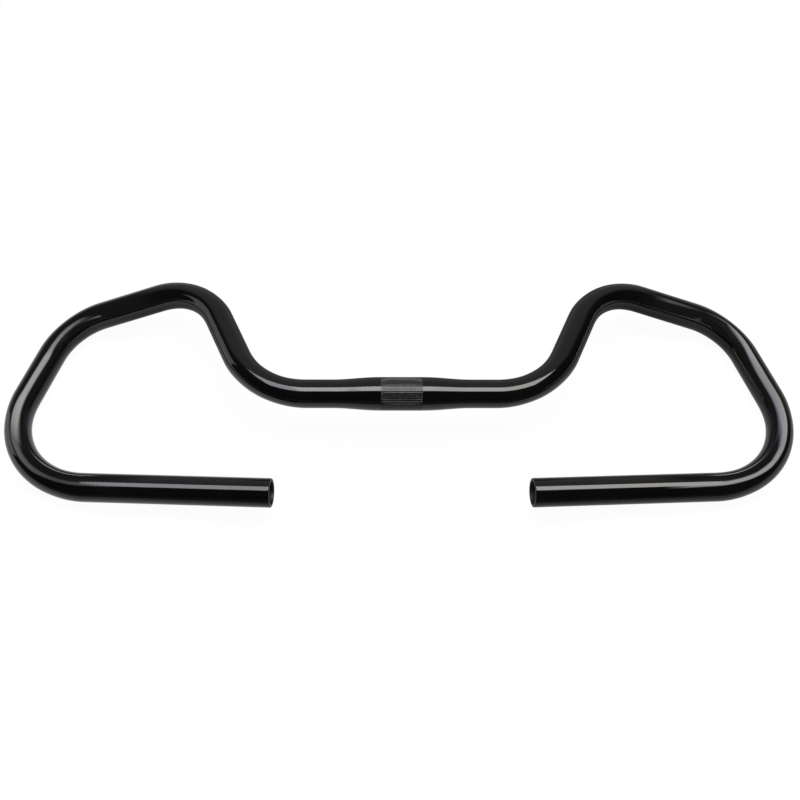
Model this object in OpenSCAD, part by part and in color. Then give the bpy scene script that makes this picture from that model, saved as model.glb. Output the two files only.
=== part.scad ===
// Multi-position handlebar: one round tube, swaged up in the middle to a knurled seat
// for the stem, and bent four times on each side. From the seat each arm reaches
// forwards, turns outwards at the front corner, turns back at the outer corner, and
// comes round to a straight grip that points inwards. The left arm mirrors the right.
// The origin is the centre of the seat, +X runs along it to the rider's right, +Y
// points forwards and +Z up.

/* [Tube] */
// Outside diameter of the tube, and so of the grips
tube_d = 22.2; // [20:0.1:24]
// Wall thickness, the same in the arms, the swages and the seat
wall = 2.2; // [1.4:0.1:3]
// Radius of the rounded outer edge of each open end
end_round = 1; // [0.3:0.1:1.1]
// Bevel inside each open end
mouth_bevel = 0.3; // [0.1:0.1:0.6]

/* [Clamp seat] */
// Diameter of the seat that the stem clamps
seat_d = 26; // [24.5:0.1:28]
// Length of the seat
seat_len = 34; // [24:1:50]
// Length of each swage, from the seat down to the tube
swage_len = 37; // [20:1:60]
// Straight tube between each swage and the first bend
centre_plain = 19.5; // [5:0.5:50]

/* [Knurl] */
// Number of grooves around the seat
knurl_count = 56; // [30:1:64]
// Width of a groove at the seat's surface
knurl_width = 0.35; // [0.2:0.05:0.45]
// Depth of a groove
knurl_depth = 0.3; // [0.2:0.05:0.6]
// Smooth seat left at each end of the knurl
knurl_margin = 1; // [0.5:0.5:6]

/* [Reach] */
// Angle of the bend that turns each arm forwards beside the seat
reach_bend = 66; // [56:0.5:76]
// Centreline radius of that bend
reach_radius = 62; // [40:1:80]
// Straight tube from that bend to the front corner
reach_len = 40; // [20:1:80]

/* [Front corner] */
// Turn of the bending plane about the tube, before the front corner
front_roll = -161; // [-170:1:-152]
// Angle of the front corner
front_bend = 73; // [64:0.5:80]
// Centreline radius of the front corner
front_radius = 54; // [40:1:70]
// Straight tube across the front
front_len = 51; // [30:1:90]

/* [Outer corner] */
// Turn of the bending plane about the tube, before the outer corner
outer_roll = -13; // [-20:1:-6]
// Angle of the outer corner
outer_bend = 68.5; // [60:0.5:76]
// Centreline radius of the outer corner
outer_radius = 48; // [38:1:60]
// Straight tube down the outer side
side_len = 44; // [20:1:80]

/* [Grip] */
// Turn of the bending plane about the tube, before the grip bend
grip_roll = 15; // [8:1:22]
// Angle of the bend that brings the tube round to the grip
grip_bend = 102; // [96:0.5:108]
// Centreline radius of that bend
grip_radius = 69; // [55:1:80]
// Length of the straight grip, up to the open end
grip_len = 144; // [110:1:170]

/* [Hidden] */
$fn = 96;

// The tube is drawn in metres and scaled up once, at the end. At that size all faces
// where one bend or straight meets the next lie close enough to join as one.
mm = 1 / 1000;

tube_r = tube_d / 2 * mm;
seat_r = seat_d / 2 * mm;
seat_half = seat_len / 2 * mm;
swage = swage_len * mm;
centre_half = seat_half + swage + centre_plain * mm;
knurl_len = (seat_len - 2 * knurl_margin) * mm;
groove_w = knurl_width * mm;
groove_d = knurl_depth * mm;
tip_r = end_round * mm;
mouth_cut = mouth_bevel * mm;
SWAGE_STEPS = 12;

// One row for each bend, from the seat out to the grip: the turn of its plane, its
// angle, its centreline radius and the straight tube that follows it
BENDS = [
    [0, reach_bend, reach_radius * mm, reach_len * mm],
    [front_roll, front_bend, front_radius * mm, front_len * mm],
    [outer_roll, outer_bend, outer_radius * mm, side_len * mm],
    [grip_roll, grip_bend, grip_radius * mm, grip_len * mm],
];
LAST = len(BENDS) - 1;

// Outer radius of the swage, where t goes from 0 at the seat to 1 at the plain tube
function swage_r(t) = tube_r + (seat_r - tube_r) * (1 + cos(180 * t)) / 2;

// Radius and distance from the middle, for points along one side of the centre piece
function side_points(inset) = [
    for (i = [0 : SWAGE_STEPS])
        [swage_r(i / SWAGE_STEPS) - inset, seat_half + swage * i / SWAGE_STEPS],
    [tube_r - inset, centre_half],
    [0, centre_half],
];

// The straight centre piece along X, between the first bends
module centre(inset) {
    side = side_points(inset);
    other_side = [for (i = [len(side) - 1 : -1 : 0]) [side[i][0], -side[i][1]]];
    rotate([0, 90, 0])
        rotate_extrude()
            polygon(concat(other_side, side));
}

// A straight round bar along +Y
module straight(r, length) {
    rotate([-90, 0, 0])
        cylinder(r = r, h = length);
}

// A bent round bar that starts along +Y and turns towards +X
module elbow(r, angle, radius) {
    translate([radius, 0, 0])
        rotate([0, 0, 180 - angle])
            rotate_extrude(angle = angle)
                translate([radius, 0])
                    circle(r);
}

// Puts its children where bend i ends
module after_bend(i) {
    angle = BENDS[i][1];
    radius = BENDS[i][2];
    translate([radius, 0, 0])
        rotate([0, 0, -angle])
            translate([-radius, 0, 0])
                children();
}

// Puts its children where the straight tube after bend i ends
module after_straight(i) {
    at_bend(i)
        after_bend(i)
            translate([0, BENDS[i][3], 0])
                children();
}

// Puts its children where bend i starts, along +Y, with the bend in the XY plane
module at_bend(i) {
    if (i == 0)
        rotate([180, 0, 90])
            translate([0, centre_half, 0])
                children();
    else
        after_straight(i - 1)
            rotate([0, BENDS[i][0], 0])
                children();
}

// The right arm, from the first bend to where its tip starts
module arm(r, tip) {
    for (i = [0 : LAST])
        at_bend(i) {
            elbow(r, BENDS[i][1], BENDS[i][2]);
            after_bend(i)
                straight(r, BENDS[i][3] - (i == LAST ? tip : 0));
        }
}

// The last stretch of the right arm, with a rounded edge at the open end
module rounded_tip() {
    after_straight(LAST)
        rotate([-90, 0, 0])
            translate([0, 0, -tip_r])
                rotate_extrude() {
                    square([tube_r - tip_r, tip_r]);
                    translate([tube_r - tip_r, 0])
                        intersection() {
                            circle(tip_r);
                            square(tip_r);
                        }
                }
}

// The cone that opens the mouth of the right arm's bore
module mouth() {
    bore_r = tube_r - wall * mm;
    after_straight(LAST)
        rotate([-90, 0, 0])
            translate([0, 0, -mouth_cut])
                cylinder(r1 = bore_r, r2 = bore_r + 2 * mouth_cut, h = 2 * mouth_cut);
}

// The V grooves along the seat, with the crest between two of them at the top
module knurl() {
    for (i = [0 : knurl_count - 1])
        rotate([360 * (i + 0.5) / knurl_count, 0, 0])
            translate([-knurl_len / 2, 0, seat_r])
                rotate([90, 0, 90])
                    linear_extrude(height = knurl_len)
                        polygon([[0, -groove_d], [groove_w, groove_d], [-groove_w, groove_d]]);
}

module both_sides() {
    children();
    mirror([1, 0, 0])
        children();
}

// The bar without its bore
module outside() {
    centre(0);
    both_sides() {
        arm(tube_r, tip_r);
        rounded_tip();
    }
}

// The bore along the whole bar
module inside() {
    centre(wall * mm);
    both_sides() {
        arm(tube_r - wall * mm, 0);
        mouth();
    }
}

module handlebar() {
    color([0.07, 0.07, 0.075])
        scale(1 / mm)
            difference() {
                outside();
                inside();
                knurl();
            }
}

handlebar();
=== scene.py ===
"""Looks of a multi-position bicycle handlebar: one bent tube in gloss black paint, with a
knurled seat for the stem, on a white floor under soft panels. Lengths are in metres, where
nothing else is said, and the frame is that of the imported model: +X to the rider's right,
+Y forwards, +Z up."""

import math

import bpy
import numpy as np
from bpy.props import FloatProperty, FloatVectorProperty, IntProperty, PointerProperty
from mathutils import Euler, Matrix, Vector


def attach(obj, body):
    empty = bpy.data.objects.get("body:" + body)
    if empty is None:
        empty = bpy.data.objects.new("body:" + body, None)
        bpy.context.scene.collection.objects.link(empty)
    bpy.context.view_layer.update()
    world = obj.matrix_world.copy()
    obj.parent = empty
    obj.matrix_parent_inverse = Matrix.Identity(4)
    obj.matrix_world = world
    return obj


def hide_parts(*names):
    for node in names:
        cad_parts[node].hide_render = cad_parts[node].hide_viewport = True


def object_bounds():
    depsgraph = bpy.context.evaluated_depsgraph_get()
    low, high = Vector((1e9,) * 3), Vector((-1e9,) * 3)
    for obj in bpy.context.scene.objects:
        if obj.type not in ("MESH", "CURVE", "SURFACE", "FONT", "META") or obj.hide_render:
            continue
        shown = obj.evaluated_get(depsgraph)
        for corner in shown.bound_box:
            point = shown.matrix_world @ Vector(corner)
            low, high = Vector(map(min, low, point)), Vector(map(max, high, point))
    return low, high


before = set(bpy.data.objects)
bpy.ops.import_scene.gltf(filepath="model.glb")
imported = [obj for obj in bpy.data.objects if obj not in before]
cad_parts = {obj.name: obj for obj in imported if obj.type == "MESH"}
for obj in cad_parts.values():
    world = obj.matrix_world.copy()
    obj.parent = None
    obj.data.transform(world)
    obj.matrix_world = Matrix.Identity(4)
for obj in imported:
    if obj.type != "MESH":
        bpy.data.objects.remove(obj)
CAD_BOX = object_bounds()

bl_info = {
    "name": "Multi-position handlebar",
    "version": (1, 0, 0),
    "blender": (4, 5, 0),
    "location": "View3D > Sidebar > Handlebar",
    "description": "Builds a bent handlebar tube with a knurled clamp seat, and a plain studio",
    "category": "Object",
}

MM = 0.001
WHITE = (1, 1, 1)
# Tints of the painted highlights on the loops, cool and warm
COOL, WARM = (0.82, 0.84, 1.00), (1.00, 0.93, 0.82)


def length(name, description, default):
    return FloatProperty(name=name, description=description, default=default, min=0, unit="LENGTH")


def turn(name, description, degrees):
    return FloatProperty(
        name=name, description=description, default=math.radians(degrees), unit="ROTATION"
    )


def share(name, description, default, top=1.0):
    return FloatProperty(name=name, description=description, default=default, min=0, max=top)


def colour(name, description, default):
    return FloatVectorProperty(
        name=name, description=description, default=default, size=3, subtype="COLOR", min=0, max=1
    )


class TubeSizes(bpy.types.PropertyGroup):
    """Sizes of the tube and its bends"""

    tube_d: length("Tube diameter", "Outside diameter of the tube and the grips", 22.2 * MM)
    wall: length("Wall", "Thickness of the tube's wall", 2.2 * MM)
    end_round: length("End rounding", "Radius of the rim at each open end", 1.0 * MM)
    mouth_bevel: length("Mouth bevel", "Bevel inside each open end", 0.3 * MM)
    seat_d: length("Seat diameter", "Diameter of the seat that the stem clamps", 26.0 * MM)
    seat_len: length("Seat length", "Length of the clamp seat", 34.0 * MM)
    swage_len: length("Swage length", "From the seat down to the plain tube", 37.0 * MM)
    centre_plain: length("Plain centre", "Straight tube from swage to first bend", 19.5 * MM)
    reach_bend: turn("Reach angle", "Bend that turns each arm forwards", 66)
    reach_radius: length("Reach radius", "Centreline radius of the reach bend", 62 * MM)
    reach_len: length("Reach length", "Straight tube up to the front corner", 40 * MM)
    front_roll: turn("Front roll", "Turn of the plane before the front corner", -161)
    front_bend: turn("Front angle", "Angle of the front corner", 73)
    front_radius: length("Front radius", "Centreline radius of the front corner", 54 * MM)
    front_len: length("Front length", "Straight tube across the front", 51 * MM)
    outer_roll: turn("Outer roll", "Turn of the plane before the outer corner", -13)
    outer_bend: turn("Outer angle", "Angle of the outer corner", 68.5)
    outer_radius: length("Outer radius", "Centreline radius of the outer corner", 48 * MM)
    side_len: length("Side length", "Straight tube down the outer side", 44 * MM)
    grip_roll: turn("Grip roll", "Turn of the plane before the grip bend", 15)
    grip_bend: turn("Grip angle", "Bend that comes round to the grip", 102)
    grip_radius: length("Grip radius", "Centreline radius of the grip bend", 69 * MM)
    grip_len: length("Grip length", "Straight grip up to the open end", 144 * MM)
    flattening: share("Bend flattening", "Share of its width that the tube loses in a bend", 0.05)


class KnurlSizes(bpy.types.PropertyGroup):
    """Sizes of the grooves along the clamp seat"""

    grooves: IntProperty(name="Grooves", description="Grooves around the seat", default=56, min=8)
    width: length("Groove width", "Width of a groove at the surface", 0.42 * MM)
    depth: length("Groove depth", "Depth of a groove", 0.3 * MM)
    margin: length("Margin", "Smooth seat left at each end of the knurl", 1.0 * MM)
    run_out: length("Run-out", "Length over which a groove comes up to the surface", 0.5 * MM)


class PaintLook(bpy.types.PropertyGroup):
    """Finish of the outside and of the bore"""

    black: colour("Paint", "Colour of the paint", (0.0012, 0.0012, 0.0013))
    thin: colour("Thin paint", "Colour where the coat is thinner", (0.0022, 0.0021, 0.0022))
    knurl: colour("Knurl paint", "Colour of the paint in the knurl", (0.004, 0.004, 0.0042))
    dust: colour("Dust", "Colour of the faint dust", (0.016, 0.015, 0.014))
    gloss: share("Roughness", "Roughness of the gloss paint", 0.06)
    satin: share("Knurl roughness", "Roughness of the knurled seat", 0.08)
    cut_end: share("End roughness", "Roughness of the thin paint on the cut ends", 0.42)
    peel: length("Orange peel", "Height of the ripple in the paint", 0.008 * MM)
    alloy: colour("Bare alloy", "Colour of the unpainted bore", (0.16, 0.16, 0.165))
    overspray: length("Overspray", "How far the paint reaches into the bore", 45 * MM)


class StudioLook(bpy.types.PropertyGroup):
    """Floor, light and camera"""

    floor: colour("Floor", "Colour of the floor", (0.86, 0.86, 0.86))
    height: length("Panel height", "Height of the light panels above the bar", 1.6)
    panels: share("Panel strength", "Brightness of the light panels", 6.5, 50)
    fill: share("Fill", "Brightness of the soft light from all round", 0.30)
    near_wall: share("Near wall", "Brightness of the dark wall by the camera", 0.03)
    far_wall: share("Far wall", "Brightness of the grey wall beyond the bar", 0.38)
    floor_gloss: share("Floor in gloss", "Brightness of the floor in the paint's gloss", 0.75)
    # The cards over the loops paint their highlights in bright bands, and a dark reflection in
    # their dark part
    painted_highlight_card: length("Canopy height", "Height of the cards over the loops", 1.0 * MM)
    flag: share("Flag", "Brightness of the dark part of those cards", 0.12)
    bands: share("Bands", "Brightness of their bands at their brightest", 10, 50)
    warm: share("Warm card", "Brightness of the warm card on the left", 1.15, 50)
    shadow: share("Shadow", "Share of the bar's shadow that the floor keeps", 0.04)
    lens: FloatProperty(name="Lens", description="Focal length in millimetres", default=50.95)


class Number:
    """A number on its way through a shader. Each operator adds one Math node."""

    def __init__(self, shader, socket):
        self.shader = shader
        self.socket = socket

    def math(self, operation, *values, clamp=False):
        settings = {"operation": operation, "use_clamp": clamp}
        made = self.shader.node("ShaderNodeMath", settings, dict(enumerate(values)))
        return Number(self.shader, made.outputs[0])

    def __add__(self, other):
        return self.math("ADD", self, other)

    def __radd__(self, other):
        return self.math("ADD", other, self)

    def __sub__(self, other):
        return self.math("SUBTRACT", self, other)

    def __rsub__(self, other):
        return self.math("SUBTRACT", other, self)

    def __mul__(self, other):
        return self.math("MULTIPLY", self, other)

    def __rmul__(self, other):
        return self.math("MULTIPLY", other, self)

    def __truediv__(self, other):
        return self.math("DIVIDE", self, other)

    def __abs__(self):
        return self.math("ABSOLUTE", self)

    def clamped(self):
        return self.math("ADD", self, 0.0, clamp=True)

    def larger(self, other):
        return self.math("MAXIMUM", self, other)

    def step(self, start, end):
        """0 at start, 1 at end and a straight ramp between them"""
        return ((self - start) * (1 / (end - start))).clamped()


class Shader:
    """The node tree of a material or a world"""

    def __init__(self, owner):
        owner.use_nodes = True
        self.tree = owner.node_tree
        self.tree.nodes.clear()

    def node(self, kind, settings=None, inputs=None):
        """Adds a node of this kind, sets its settings, then its sockets' values or links"""
        made = self.tree.nodes.new(kind)
        for name, value in (settings or {}).items():
            setattr(made, name, value)
        for name, value in (inputs or {}).items():
            socket = made.inputs[name]
            if isinstance(value, Number):
                self.tree.links.new(value.socket, socket)
            elif isinstance(value, bpy.types.NodeSocket):
                self.tree.links.new(value, socket)
            else:
                socket.default_value = value
        return made

    def number(self, socket):
        return Number(self, socket)

    def place(self):
        return self.node("ShaderNodeTexCoord").outputs["Object"]

    def axes(self, vector):
        made = self.node("ShaderNodeSeparateXYZ", None, {"Vector": vector})
        return [self.number(made.outputs[i]) for i in range(3)]

    def noise(self, vector, scale, detail=2.0):
        inputs = {"Vector": vector, "Scale": scale, "Detail": detail}
        made = self.node("ShaderNodeTexNoise", None, inputs)
        return self.number(made.outputs["Fac"])

    def mix_colours(self, factor, first, second):
        inputs = {0: factor, 6: first, 7: second}
        made = self.node("ShaderNodeMix", {"data_type": "RGBA"}, inputs)
        return made.outputs[2]

    def bump(self, height, distance):
        inputs = {"Strength": 1.0, "Distance": distance, "Height": height}
        return self.node("ShaderNodeBump", None, inputs).outputs[0]

    def attribute(self, name):
        made = self.node("ShaderNodeAttribute", {"attribute_name": name})
        return self.number(made.outputs["Fac"])

    def glow(self, rgb, strength):
        inputs = {"Color": opaque(rgb), "Strength": strength}
        return self.node("ShaderNodeEmission", None, inputs).outputs[0]

    def clear(self):
        return self.node("ShaderNodeBsdfTransparent").outputs[0]

    def mix_shaders(self, factor, first, second):
        inputs = {0: factor, 1: first, 2: second}
        return self.node("ShaderNodeMixShader", None, inputs).outputs[0]

    def seen(self):
        """1 for rays from the camera, and for those that gloss or glass sends on"""
        ray = self.node("ShaderNodeLightPath").outputs
        camera = self.number(ray["Is Camera Ray"])
        glossy = self.number(ray["Is Glossy Ray"])
        return camera.larger(glossy).larger(self.number(ray["Is Transmission Ray"]))

    def end_in(self, kind, socket):
        self.node(kind, None, {"Surface": socket})


def opaque(rgb):
    return (*rgb, 1.0)


# ---- the tube's path ----


class Path:
    """Rings along the right half of the tube, from the knurl's edge to the open end"""

    def __init__(self, sizes):
        self.sizes = sizes
        self.at = np.zeros(3)
        self.across = np.array([0.0, 1.0, 0.0])
        self.along = np.array([1.0, 0.0, 0.0])
        self.up = np.array([0.0, 0.0, -1.0])
        self.roll = 0.0
        self.rows = []

    def ring(self, radius, squeeze=0.0):
        self.rows.append((self.at.copy(), self.across.copy(), self.up.copy(), self.roll,
                          radius, squeeze))

    def straight(self, distance, radius, spacing=0.012, first=0.002):
        """Rings close to both ends of a straight, and evenly spread between them"""
        start = self.at.copy()
        count = max(1, round((distance - 2 * first) / spacing))
        for reach in [*np.linspace(first, distance - first, count + 1), distance]:
            self.at = start + self.along * reach
            self.ring(radius)

    def turn_plane(self, angle):
        """Turns the bending plane, while the rings keep their places"""
        across, up = self.across, self.up
        self.across = across * math.cos(angle) - up * math.sin(angle)
        self.up = across * math.sin(angle) + up * math.cos(angle)
        self.roll += angle

    def bend(self, angle, bend_radius, radius, step=math.radians(2)):
        """A bend that flattens the tube a little, more and more over its first stretch"""
        start, across, along = self.at.copy(), self.across.copy(), self.along.copy()
        middle = start + across * bend_radius
        ease = 1.2 * self.sizes.tube_d
        count = math.ceil(angle / step)
        for i in range(1, count + 1):
            t = angle * i / count
            self.across = across * math.cos(t) - along * math.sin(t)
            self.along = across * math.sin(t) + along * math.cos(t)
            self.at = middle - self.across * bend_radius
            edge = min(1.0, min(t, angle - t) * bend_radius / ease)
            squeeze = self.sizes.flattening * edge * edge * (3 - 2 * edge)
            self.ring(radius, squeeze)


def swage_radius(sizes, t):
    """Outer radius of the swage, where t goes from 0 at the seat to 1 at the tube"""
    tube_r, seat_r = sizes.tube_d / 2, sizes.seat_d / 2
    return tube_r + (seat_r - tube_r) * (1 + math.cos(math.pi * t)) / 2


def right_half(sizes, knurl):
    """The rings of the right half, up to where the rounded rim starts"""
    path = Path(sizes)
    seat_half = sizes.seat_len / 2
    off_the_knurl = 0.4 * MM
    for x in (seat_half - knurl.margin + off_the_knurl, seat_half):
        path.at = np.array([x, 0.0, 0.0])
        path.ring(sizes.seat_d / 2)
    swage_rings = 18
    for i in range(1, swage_rings + 1):
        t = i / swage_rings
        path.at = np.array([seat_half + sizes.swage_len * t, 0.0, 0.0])
        path.ring(swage_radius(sizes, t))
    tube_r = sizes.tube_d / 2
    path.straight(sizes.centre_plain, tube_r)
    path.bend(sizes.reach_bend, sizes.reach_radius, tube_r)
    path.straight(sizes.reach_len, tube_r)
    path.turn_plane(sizes.front_roll)
    path.bend(sizes.front_bend, sizes.front_radius, tube_r)
    path.straight(sizes.front_len, tube_r)
    path.turn_plane(sizes.outer_roll)
    path.bend(sizes.outer_bend, sizes.outer_radius, tube_r)
    path.straight(sizes.side_len, tube_r)
    path.turn_plane(sizes.grip_roll)
    path.bend(sizes.grip_bend, sizes.grip_radius, tube_r)
    path.straight(sizes.grip_len - sizes.end_round, tube_r)
    return path


def ring_points(row, count, inset=0.0):
    """The points of one ring, in the same places around the tube all along it"""
    at, across, up, roll, radius, squeeze = row
    angle = np.arange(count) * 2 * math.pi / count + roll
    r = radius - inset
    return (at + np.outer(np.cos(angle), across) * r * (1 - squeeze)
            + np.outer(np.sin(angle), up) * r)


def rim_rings(path, outer, inner, sizes):
    """The rounded rim of the right end, then the flat of its wall and its bevelled mouth"""
    tube_r, round_r = sizes.tube_d / 2, sizes.end_round
    bore_r, bevel = tube_r - sizes.wall, sizes.mouth_bevel
    start = path.at
    rings = []

    def add(count, radius, reach):
        row = (start + path.along * reach, path.across, path.up, path.roll, radius, 0.0)
        rings.append(ring_points(row, count))

    for degrees in (15, 30, 45, 60, 75, 90):
        a = math.radians(degrees)
        add(outer, tube_r - round_r * (1 - math.cos(a)), round_r * math.sin(a))
    soft = 0.08 * MM
    add(inner, bore_r + bevel + soft, round_r)
    add(inner, bore_r + bevel - soft, round_r - soft)
    add(inner, bore_r + soft, round_r - bevel + soft)
    add(inner, bore_r, round_r - bevel - soft)
    on_the_rounding = 3
    return rings[:on_the_rounding], rings[on_the_rounding:]


# ---- the mesh ----


class Skin:
    """Collects rings of points, and joins each to the one before"""

    def __init__(self):
        self.points = []
        self.faces = []
        self.last = None

    def add(self, ring):
        ids = sum(len(p) for p in self.points) + np.arange(len(ring))
        self.points.append(ring)
        if self.last is not None:
            self.join(self.last, ids)
        self.last = ids

    def join(self, a, b):
        """Faces between two rings, where one may have several points for each of the
        other's. All face the same way."""
        fine, coarse = (a, b) if len(a) >= len(b) else (b, a)
        many = len(fine) // len(coarse)
        for i in range(len(coarse)):
            edge = [fine[(i * many + k) % len(fine)] for k in range(many + 1)]
            face = [coarse[i], *edge, coarse[(i + 1) % len(coarse)]]
            self.faces.append(face if fine is a else face[::-1])


# A groove's section: places across it in half widths, and shares of its depth there
GROOVE = [
    (-1.25, 0), (-0.85, 0.10), (-0.45, 0.62), (0, 1), (0.45, 0.62), (0.85, 0.10), (1.25, 0),
]
RING_POINTS = 1 + len(GROOVE)


def knurl_ring(sizes, knurl, x, depth):
    """A ring of the grooved seat, with a crest and a groove's own points to each pitch"""
    seat_r = sizes.seat_d / 2
    half = knurl.width / 2
    pitch = 2 * math.pi * seat_r / knurl.grooves
    profile = [(0, 0), *[(pitch / 2 + half * across, deep) for across, deep in GROOVE]]
    points = []
    for i in range(knurl.grooves):
        for offset, deep in profile:
            angle = (i * pitch + offset) / seat_r
            r = seat_r - depth * deep
            points.append((x, r * math.cos(angle), -r * math.sin(angle)))
    return np.array(points)


def mirrored(ring):
    return ring * np.array([-1.0, 1.0, 1.0])


def tube_mesh(sizes, knurl):
    """The whole tube as one closed mesh. Also returns how far out the rims lie, and the
    first faces of the right rim, the bore, the left rim and the left outside."""
    around, inside = 2 * knurl.grooves, knurl.grooves
    path = right_half(sizes, knurl)
    outer = [ring_points(row, around) for row in path.rows]
    bore = [ring_points(row, inside, sizes.wall) for row in path.rows[:-1]]
    edge, face = rim_rings(path, around, inside, sizes)
    knurl_half = sizes.seat_len / 2 - knurl.margin
    grooved = [(knurl_half, 0), (knurl_half - knurl.run_out, knurl.depth),
               (knurl_half / 2, knurl.depth)]
    grooved = [*grooved, *[(-x, depth) for x, depth in reversed(grooved)]]
    skin = Skin()
    for x, depth in reversed(grooved):
        skin.add(knurl_ring(sizes, knurl, x, depth))
    mouth = abs(face[0][0][0])
    starts = []
    for ring in [*outer, *edge]:
        skin.add(ring)
    starts.append(len(skin.faces))
    for ring in face:
        skin.add(ring)
    starts.append(len(skin.faces))
    for ring in reversed(bore):
        skin.add(ring)
    for ring in bore:
        skin.add(mirrored(ring))
    starts.append(len(skin.faces))
    for ring in reversed(face):
        skin.add(mirrored(ring))
    starts.append(len(skin.faces))
    for ring in [*reversed(edge), *reversed(outer)]:
        skin.add(mirrored(ring))
    skin.join(skin.last, np.arange(RING_POINTS * knurl.grooves))
    return np.vstack(skin.points), skin.faces, mouth, starts


def build_object(name, points, faces):
    mesh = bpy.data.meshes.new(name)
    mesh.from_pydata(points.tolist(), [], [[int(i) for i in f] for f in faces])
    mesh.validate()
    mesh.update()
    made = bpy.data.objects.new(name, mesh)
    bpy.context.scene.collection.objects.link(made)
    return made


# ---- materials ----

# Scales of the noises, in cells to a metre
CLOUDS, RIPPLES, GRAINS, END_GRAINS = 16.0, 430.0, 2600.0, 3200.0
SPECKS, STREAKS = 900.0, 120.0
FINE = 3.0


def paint_material(look, sizes, knurl):
    """Gloss black paint with a faint ripple, duller where it fills the knurl"""
    material = bpy.data.materials.new("gloss_black_paint")
    shader = Shader(material)
    place = shader.place()
    x, _, _ = shader.axes(place)
    cloud = shader.noise(place, CLOUDS)
    ripple = shader.noise(place, RIPPLES, 1.0)
    grain = shader.noise(place, GRAINS, FINE)
    knurl_half = sizes.seat_len / 2 - knurl.margin
    soft = 0.3 * MM
    knurled = abs(x).step(knurl_half + soft, knurl_half - soft)
    most_dust, cloud_rough, dust_rough, grain_high, knurl_high = 0.5, 0.03, 0.10, 0.10, 0.2
    dusty = grain.step(0.66, 0.76) * cloud.step(0.42, 0.62) * most_dust
    coat = shader.mix_colours(cloud.step(0.35, 0.70), opaque(look.black), opaque(look.thin))
    coat = shader.mix_colours(dusty, coat, opaque(look.dust))
    coat = shader.mix_colours(knurled * grain.step(0.30, 0.62), coat, opaque(look.knurl))
    gloss = look.gloss + cloud_rough * cloud + dust_rough * dusty
    rough = gloss + knurled * (look.satin - look.gloss) * (0.75 + 0.5 * grain)
    height = ripple + grain_high * grain + knurled * grain * knurl_high
    surface = shader.node("ShaderNodeBsdfPrincipled", None, {
        "Base Color": coat,
        "Roughness": rough,
        "IOR": 1.5,
        "Normal": shader.bump(height, look.peel),
    })
    shader.end_in("ShaderNodeOutputMaterial", surface.outputs[0])
    return material


def end_material(look):
    """Thin, duller paint on the sawn and brushed face of the tube's wall"""
    material = bpy.data.materials.new("painted_cut_end")
    shader = Shader(material)
    place = shader.place()
    grain = shader.noise(place, END_GRAINS, FINE)
    coat = shader.mix_colours(grain.step(0.35, 0.70), opaque(look.black), opaque(look.knurl))
    surface = shader.node("ShaderNodeBsdfPrincipled", None, {
        "Base Color": coat,
        "Roughness": look.cut_end + 0.10 * grain,
        "Normal": shader.bump(grain, look.peel),
    })
    shader.end_in("ShaderNodeOutputMaterial", surface.outputs[0])
    return material


def bore_material(look, mouth):
    """Paint that thins out a little way inside the mouth, then bare drawn alloy"""
    material = bpy.data.materials.new("bore_of_tube")
    shader = Shader(material)
    place = shader.place()
    x, _, _ = shader.axes(place)
    speck = shader.noise(place, SPECKS, FINE)
    streak = shader.noise(place, STREAKS, FINE)
    depth = abs(x) - mouth
    ragged, full_paint, darker = 10 * MM, 0.4, 0.6
    bare = (depth + (speck - 0.5) * ragged).step(full_paint * look.overspray, look.overspray)
    streaked = opaque([darker * c for c in look.alloy])
    alloy = shader.mix_colours(streak.step(0.3, 0.7), streaked, opaque(look.alloy))
    shade = shader.mix_colours(bare, opaque(look.black), alloy)
    surface = shader.node("ShaderNodeBsdfPrincipled", None, {
        "Base Color": shade,
        "Metallic": bare,
        "Roughness": 0.50 + 0.15 * streak + 0.10 * speck,
    })
    shader.end_in("ShaderNodeOutputMaterial", surface.outputs[0])
    return material


def pale_material(name, rgb, kept):
    """A pale floor that looks evenly lit, and keeps a share of the object's shadow"""
    material = bpy.data.materials.new(name)
    shader = Shader(material)
    lit = shader.node("ShaderNodeBsdfDiffuse", None, {"Color": opaque(rgb)})
    plain = shader.glow(WHITE, 1.0)
    mixed = shader.mix_shaders(shader.seen() * (1 - kept), lit.outputs[0], plain)
    shader.end_in("ShaderNodeOutputMaterial", mixed)
    return material


def card_material(name, level, tint=WHITE, cover=None):
    """A card seen only in the paint's gloss. Its cover, from x and y, is the share of the
    level that it glows with."""
    material = bpy.data.materials.new(name)
    shader = Shader(material)
    glow = shader.glow(tint, level)
    if cover:
        x, y, _ = shader.axes(shader.place())
        glow = shader.mix_shaders(cover(x, y), shader.glow(WHITE, 0.0), glow)
    shader.end_in("ShaderNodeOutputMaterial", glow)
    return material


def wall_cover(look):
    """Grey towards the far side, dark at both sides and towards the camera"""
    near = look.near_wall / look.far_wall

    def cover(x, y):
        never_zero = 0.01
        forwards = y / (abs(x) + abs(y) + never_zero)
        return near + (1 - near) * forwards.step(0.30, 0.50)
    return cover


def painted_floor_reflection(x, y):
    """A painted reflection of the floor in the gloss, with painted light and shade: dark towards
    the camera, lighter under the bar, dimmer again beyond the seat, and brighter on the left"""
    dark, lighter, dimmer, brighter = 0.08, 0.61, 0.65, 0.45
    under = dark + lighter * y.step(-0.17, -0.085)
    beyond = y.step(0.02, 0.08) * abs(x).step(0.28, 0.22)
    left = 1.0 + brighter * x.step(0.20, -0.20)
    return under * (1 - dimmer * beyond) * left


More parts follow.
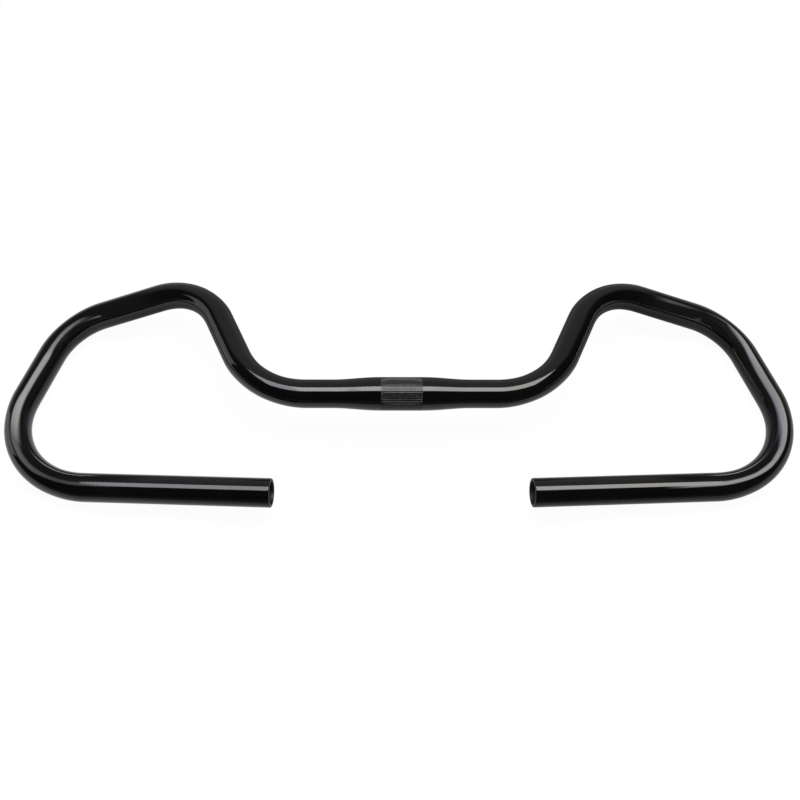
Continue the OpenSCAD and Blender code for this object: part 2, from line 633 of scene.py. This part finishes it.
def painted_highlight_card_material(look):
    """A dark card with bright bands. The bands are painted highlights on the loops, and the dark
    part is a painted dark reflection that hides the panels' highlight over them. Its points carry
    how far it covers what lies behind it, and the level and warmth of its bands."""
    material = bpy.data.materials.new("painted_highlight_card_in_gloss")
    shader = Shader(material)
    bands = shader.mix_shaders(shader.attribute("warmth"), shader.glow(COOL, look.bands),
                               shader.glow(WARM, look.bands))
    dark = shader.glow(WHITE, look.flag)
    shown = shader.mix_shaders(shader.attribute("level"), dark, bands)
    covered = shader.mix_shaders(shader.attribute("cover"), shader.clear(), shown)
    shader.end_in("ShaderNodeOutputMaterial", covered)
    return material


# ---- the stage ----


def on_stage(obj, material):
    obj.data.materials.append(material)


def card(obj, material):
    """Cards shape the reflections and neither show, nor cast shadows, nor light anything"""
    on_stage(obj, material)
    obj.visible_camera = False
    obj.visible_diffuse = False
    obj.visible_transmission = False
    obj.visible_shadow = False


def level_square(name, half, z):
    """A level square about the middle, with half of its side given"""
    points = np.array([(-half, -half, z), (half, -half, z), (half, half, z), (-half, half, z)])
    return build_object(name, points, [[0, 1, 2, 3]])


def wall_dome(radius, base, material):
    """A wide round wall and ceiling about the bar, as a card"""
    rows, columns = 12, 48
    points, faces = [], []
    for i in range(rows):
        tilt = math.radians(90 * i / rows)
        for j in range(columns):
            a = 2 * math.pi * j / columns
            points.append((radius * math.cos(tilt) * math.cos(a),
                           radius * math.cos(tilt) * math.sin(a),
                           base + radius * math.sin(tilt)))
    points.append((0, 0, base + radius))
    for i in range(rows - 1):
        for j in range(columns):
            k = (j + 1) % columns
            faces.append([i * columns + j, i * columns + k,
                          (i + 1) * columns + k, (i + 1) * columns + j])
    last = (rows - 1) * columns
    for j in range(columns):
        faces.append([last + j, last + (j + 1) % columns, rows * columns])
    card(build_object("studio_wall", np.array(points), faces), material)


# Half the side of the floor and of the card just above it, and the radius of the wall
FLOOR_HALF, FLOOR_CARD_HALF, FLOOR_CARD_LIFT = 8, 3, 0.2 * MM
WALL_RADIUS = 3.4

# The two upright edges of the warm card: x, y and how high they reach, and its tint
WARM_EDGES = [(-0.745, 0.02, 0.36), (-0.715, 0.265, 0.30)]
WARM_TINT = (1.0, 0.90, 0.84)

# The painted highlights on the loops, as bright bands on the cards over them: x, y and half the
# width in mm, and the brightness of points along them, with x out from the bar's middle
BANDS = [
    ("painted_highlight_card_left", -1, [
        (283, 95, 5, 0), (282, 86, 8, 4.5), (285, 73, 14, 8.0), (296, 52, 14, 8.5),
        (302, 33, 15, 9.0), (318, 19, 21, 6.5), (331, -1, 22, 2.4), (329, -24, 18, 2.2),
        (317, -44, 15, 1.8), (295, -56, 9, 1.4), (276, -63, 7, 1.2), (256, -68, 6, 1.6),
        (240, -73, 4, 1.5), (223, -77, 2, 0),
    ]),
    ("painted_highlight_card_right", 1, [
        (214, 104, 4, 0), (235, 106, 5, 1.8), (256, 107, 5, 1.2), (276, 109, 4, 0.1),
        (300, 112, 7, 3.0), (302, 98, 10, 6.5), (300, 80, 16, 7.4), (300, 57, 20, 6.2),
        (308, 37, 22, 6.0), (325, 17, 22, 6.8),
        (331, -11, 19, 5.8), (319, -39, 14, 6.8), (294, -55, 9, 7.4), (270, -63, 8, 7.6),
        (249, -71, 7, 7.2), (227, -77, 6, 5.0), (206, -79, 6, 0),
    ]),
]


# The highlight card's grid, the widths over which its edges fade, and where it turns to painted
# dark reflection, in mm
CANOPY_X, CANOPY_Y, CANOPY_SPACING = (200, 380), (-100, 190), 2.5
INNER_FADE, OUTER_FADE, FRONT_FADE = 30, 10, 15
DARK_FROM, DARK_FADE = -62, 18
# In half widths of a band: where it has faded out, over how much, and from cool to warm
FADED_AT, FADE, COOL_TO_WARM = 1.3, 0.6, 2.6


def limited(value):
    return min(max(value, 0.0), 1.0)


def band_at(point, rows):
    """Level and warmth of a band at a point: its full level over the middle, fading at
    the edges, and cool on the left and warm on the right"""
    nearest, level, warmth = math.inf, 0.0, 0.5
    for (x0, y0, half0, level0), (x1, y1, half1, level1) in zip(rows, rows[1:]):
        start, way = np.array([x0, y0]), np.array([x1 - x0, y1 - y0])
        t = limited((point - start) @ way / (way @ way))
        gap = point - start - way * t
        half = half0 + (half1 - half0) * t
        reach = math.hypot(*gap)
        if reach < nearest:
            nearest = reach
            full = level0 + (level1 - level0) * t
            level = limited((FADED_AT - reach / half) / FADE) * full
            warmth = 0.5 + math.copysign(reach, gap[0]) / (COOL_TO_WARM * half)
    return level, limited(warmth)


def painted_highlight_card(name, side, rows, look, material):
    """A flat card over one loop, as a grid of points that carry its brightness: painted highlights
    in its bands, and a painted dark reflection over most of the loop
    """
    (x0, x1), (y0, y1) = CANOPY_X, CANOPY_Y
    columns = np.arange(x0, x1 + 1, CANOPY_SPACING)
    lines = np.arange(y0, y1 + 1, CANOPY_SPACING)
    points, covers, levels, warmths = [], [], [], []
    never_zero = 1e-6
    for y in lines:
        for x in columns:
            level, warmth = band_at(np.array([x, y]), rows)
            lit = level / look.bands
            edge = min((x - x0) / INNER_FADE, (x1 - x) / OUTER_FADE, (y1 - y) / FRONT_FADE)
            covered = limited(max((y - DARK_FROM) / DARK_FADE, lit))
            points.append((side * x * MM, y * MM, look.painted_highlight_card))
            covers.append(limited(edge) * covered)
            levels.append(limited(lit / max(covered, never_zero)))
            warmths.append(warmth if side > 0 else 1 - warmth)
    wide = len(columns)
    faces = [[k, k + 1, k + 1 + wide, k + wide] for i in range(len(lines) - 1)
             for k in range(i * wide, (i + 1) * wide - 1)]
    made = build_object(name, np.array(points), faces)
    for label, values in (("cover", covers), ("level", levels), ("warmth", warmths)):
        made.data.attributes.new(label, "FLOAT", "POINT").data.foreach_set("value", values)
    card(made, material)


def light_panel(name, height, low, high, radiance, tint):
    """A flat soft light overhead, with its corners given as shares of its height"""
    (x0, y0), (x1, y1) = low, high
    wide, deep = (x1 - x0) * height, (y1 - y0) * height
    lamp = bpy.data.lights.new(name, "AREA")
    lamp.shape = "RECTANGLE"
    lamp.size, lamp.size_y = wide, deep
    watts_to_radiance = 4
    lamp.energy = watts_to_radiance * wide * deep * radiance
    lamp.color = tint
    made = bpy.data.objects.new(name, lamp)
    made.location = ((x0 + x1) / 2 * height, (y0 + y1) / 2 * height, height)
    made.visible_camera = False
    bpy.context.scene.collection.objects.link(made)


# Name, near left and far right corners as shares of the height, brightness and tint
PANELS = [
    ("panel_left", (-0.62, -0.27), (-0.20, 0.29), 0.68, (0.93, 0.95, 1.00)),
    ("panel_middle", (-0.20, -0.27), (0.20, 0.29), 1.0, (0.97, 0.96, 1.00)),
    ("panel_right", (0.20, -0.27), (0.68, 0.29), 0.95, (1.00, 0.96, 0.93)),
]


def make_world(look):
    world = bpy.data.worlds.new("studio")
    bpy.context.scene.world = world
    shader = Shader(world)
    strength = look.fill + (1 - look.fill) * shader.seen()
    inputs = {"Color": opaque(WHITE), "Strength": strength}
    light = shader.node("ShaderNodeBackground", None, inputs)
    shader.end_in("ShaderNodeOutputWorld", light.outputs[0])


CAMERA_TURN = [math.radians(a) for a in (34.976, -0.973, 0.033)]
# The camera's place along its own axes, from the frame's origin
CAMERA_PLACE = (-0.00130, -0.00475, 0.8747)


def make_camera(look):
    camera = bpy.data.cameras.new("camera")
    camera.lens = look.lens
    camera.sensor_width = 36
    camera.clip_start, camera.clip_end = 0.05, 60
    made = bpy.data.objects.new("camera", camera)
    made.rotation_mode = "ZYX"
    made.rotation_euler = Euler(CAMERA_TURN, "ZYX")
    made.location = Euler(CAMERA_TURN, "ZYX").to_matrix() @ Vector(CAMERA_PLACE)
    bpy.context.scene.collection.objects.link(made)
    bpy.context.scene.camera = made


class HANDLEBAR_OT_tube(bpy.types.Operator):
    """Build the bent tube with its knurled seat, rounded ends and bore"""

    bl_idname = "handlebar.tube"
    bl_label = "Bent tube"

    def execute(self, context):
        sizes, knurl = context.scene.handlebar_tube, context.scene.handlebar_knurl
        look = context.scene.handlebar_paint
        points, faces, mouth, (rim, bore, left_rim, left) = tube_mesh(sizes, knurl)
        tube = build_object("bent_tube", points, faces)
        tube.data.materials.append(paint_material(look, sizes, knurl))
        tube.data.materials.append(end_material(look))
        tube.data.materials.append(bore_material(look, mouth))
        for face in tube.data.polygons:
            face.use_smooth = True
            if bore <= face.index < left_rim:
                face.material_index = 2
            elif rim <= face.index < left:
                face.material_index = 1
        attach(tube, "root")
        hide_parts("handlebar")
        return {"FINISHED"}


class HANDLEBAR_OT_stage(bpy.types.Operator):
    """Set up the white floor, the panels and cards, and the camera"""

    bl_idname = "handlebar.stage"
    bl_label = "Studio"

    def execute(self, context):
        look = context.scene.handlebar_studio
        bottom = CAD_BOX[0].z
        on_stage(level_square("floor", FLOOR_HALF, bottom),
                 pale_material("white_floor", look.floor, look.shadow))
        # A card just over the floor that only the gloss sees, carrying a painted reflection of the
        # floor
        card(level_square("floor_card", FLOOR_CARD_HALF, bottom + FLOOR_CARD_LIFT),
             card_material("floor_in_gloss", look.floor_gloss, cover=painted_floor_reflection))
        wall_dome(WALL_RADIUS, bottom,
                  card_material("wall_in_gloss", look.far_wall, cover=wall_cover(look)))
        shade = painted_highlight_card_material(look)
        for name, side, rows in BANDS:
            painted_highlight_card(name, side, rows, look, shade)
        corners = [*[(x, y, bottom) for x, y, _ in WARM_EDGES], *reversed(WARM_EDGES)]
        card(build_object("warm_card", np.array(corners), [[0, 1, 2, 3]]),
             card_material("warm_glow", look.warm, WARM_TINT))
        for name, low, high, level, tint in PANELS:
            light_panel(name, look.height, low, high, look.panels * level, tint)
        make_world(look)
        make_camera(look)
        context.scene.view_settings.view_transform = "Standard"
        return {"FINISHED"}


class HANDLEBAR_PT_build(bpy.types.Panel):
    """The handlebar's pieces, sizes and finish"""

    bl_label = "Handlebar"
    bl_idname = "HANDLEBAR_PT_build"
    bl_space_type = "VIEW_3D"
    bl_region_type = "UI"
    bl_category = "Handlebar"

    def draw(self, context):
        layout = self.layout
        for operator in OPERATORS:
            layout.operator(operator.bl_idname)
        for holder, group in GROUPS.items():
            box = layout.box()
            for name in group.__annotations__:
                box.prop(getattr(context.scene, holder), name)


GROUPS = {
    "handlebar_tube": TubeSizes,
    "handlebar_knurl": KnurlSizes,
    "handlebar_paint": PaintLook,
    "handlebar_studio": StudioLook,
}
OPERATORS = [HANDLEBAR_OT_tube, HANDLEBAR_OT_stage]


def register():
    for cls in [*GROUPS.values(), *OPERATORS, HANDLEBAR_PT_build]:
        bpy.utils.register_class(cls)
    for holder, group in GROUPS.items():
        setattr(bpy.types.Scene, holder, PointerProperty(type=group))


def unregister():
    for holder in GROUPS:
        delattr(bpy.types.Scene, holder)
    for cls in reversed([*GROUPS.values(), *OPERATORS, HANDLEBAR_PT_build]):
        bpy.utils.unregister_class(cls)


def main():
    register()
    bpy.ops.handlebar.tube()
    bpy.ops.handlebar.stage()


if __name__ == "__main__":
    main()
